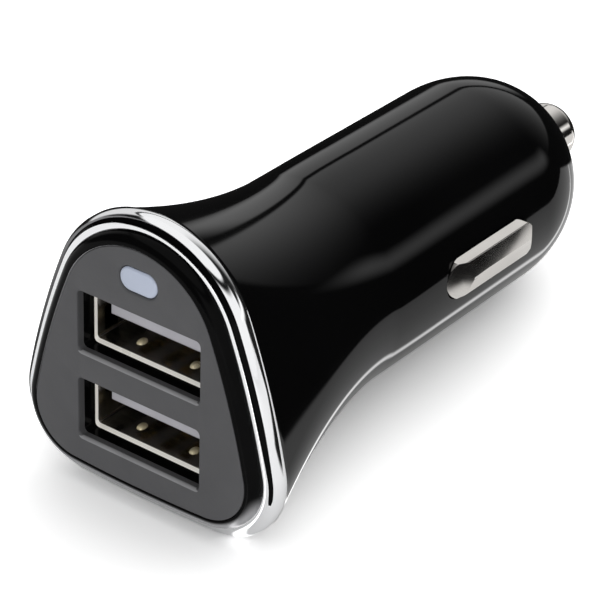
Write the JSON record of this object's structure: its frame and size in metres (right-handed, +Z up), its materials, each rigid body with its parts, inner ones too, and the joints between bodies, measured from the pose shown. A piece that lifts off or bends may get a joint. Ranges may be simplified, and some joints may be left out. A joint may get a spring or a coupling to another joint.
{
  "type": "car usb charger plug",
  "caption": "Car charger plug with stacked USB sockets in a flared rounded-triangle face, chrome trim, round barrel and sprung tip and side contacts.",
  "frame": {"origin": "on the plug axis at the plane where the flare ends and the straight barrel begins", "axes": "+Y along the plug from the face to the tip, +Z up towards the lamp window, +X to the right seen from the face"},
  "size_m": [0.0276, 0.0623, 0.0292],
  "materials": {
    "gloss_black": "piano black gloss",
    "chrome_trim": "bright plated",
    "grey_satin": "satin",
    "milky_window": "milky translucent",
    "lamp_resin": "clear resin",
    "shell_steel": "tinned",
    "socket_plastic": "moulded pale grey",
    "gold_contact": "gold plated",
    "board": "solder mask",
    "ferrite": "sintered",
    "can": "sleeved can",
    "chip_resin": "moulded resin",
    "nickel": "nickel plated",
    "spring_steel": "drawn wire",
    "terminal_brass": "tinned strip",
    "sleeve_plastic": "moulded"
  },
  "bodies": {
    "plug": {"housing": "gloss_black", "front_cover": "gloss_black", "trim_ring": "chrome_trim", "face_plate": "grey_satin", "lamp_window": "milky_window", "status_lamp": "lamp_resin", "usb_shell_upper": "shell_steel", "usb_shell_lower": "shell_steel", "usb_insulator_upper": "socket_plastic", "usb_insulator_lower": "socket_plastic", "usb_contacts_upper": "gold_contact", "usb_contacts_lower": "gold_contact", "circuit_board": "board", "choke": "ferrite", "input_capacitor": "can", "output_capacitor": "can", "regulator_chip": "chip_resin", "flyback_diode": "chip_resin", "tip_spring": "spring_steel", "tip_terminal": "terminal_brass", "tip_sleeve": "sleeve_plastic", "side_spring_left": "spring_steel", "side_spring_right": "spring_steel", "ground_bracket": "terminal_brass"},
    "tip": {"tip_contact": "nickel"},
    "left_shoe": {"side_contact_left": "nickel"},
    "right_shoe": {"side_contact_right": "nickel"}
  },
  "joints": [
    {"name": "tip_press", "type": "slide", "parent": "plug", "child": "tip", "axis": [0, -1, 0], "range_m": [0, 0.003], "stiffness_N_per_m": 1200, "springref_m": -0.002, "deforming": ["tip_spring"]},
    {"name": "side_press_left", "type": "slide", "parent": "plug", "child": "left_shoe", "axis": [1, 0, 0], "range_m": [0, 0.001], "stiffness_N_per_m": 1500, "springref_m": -0.001, "deforming": ["side_spring_left"]},
    {"name": "side_press_right", "type": "slide", "parent": "plug", "child": "right_shoe", "axis": [-1, 0, 0], "range_m": [0, 0.001], "stiffness_N_per_m": 1500, "springref_m": -0.001, "deforming": ["side_spring_right"]}
  ]
}
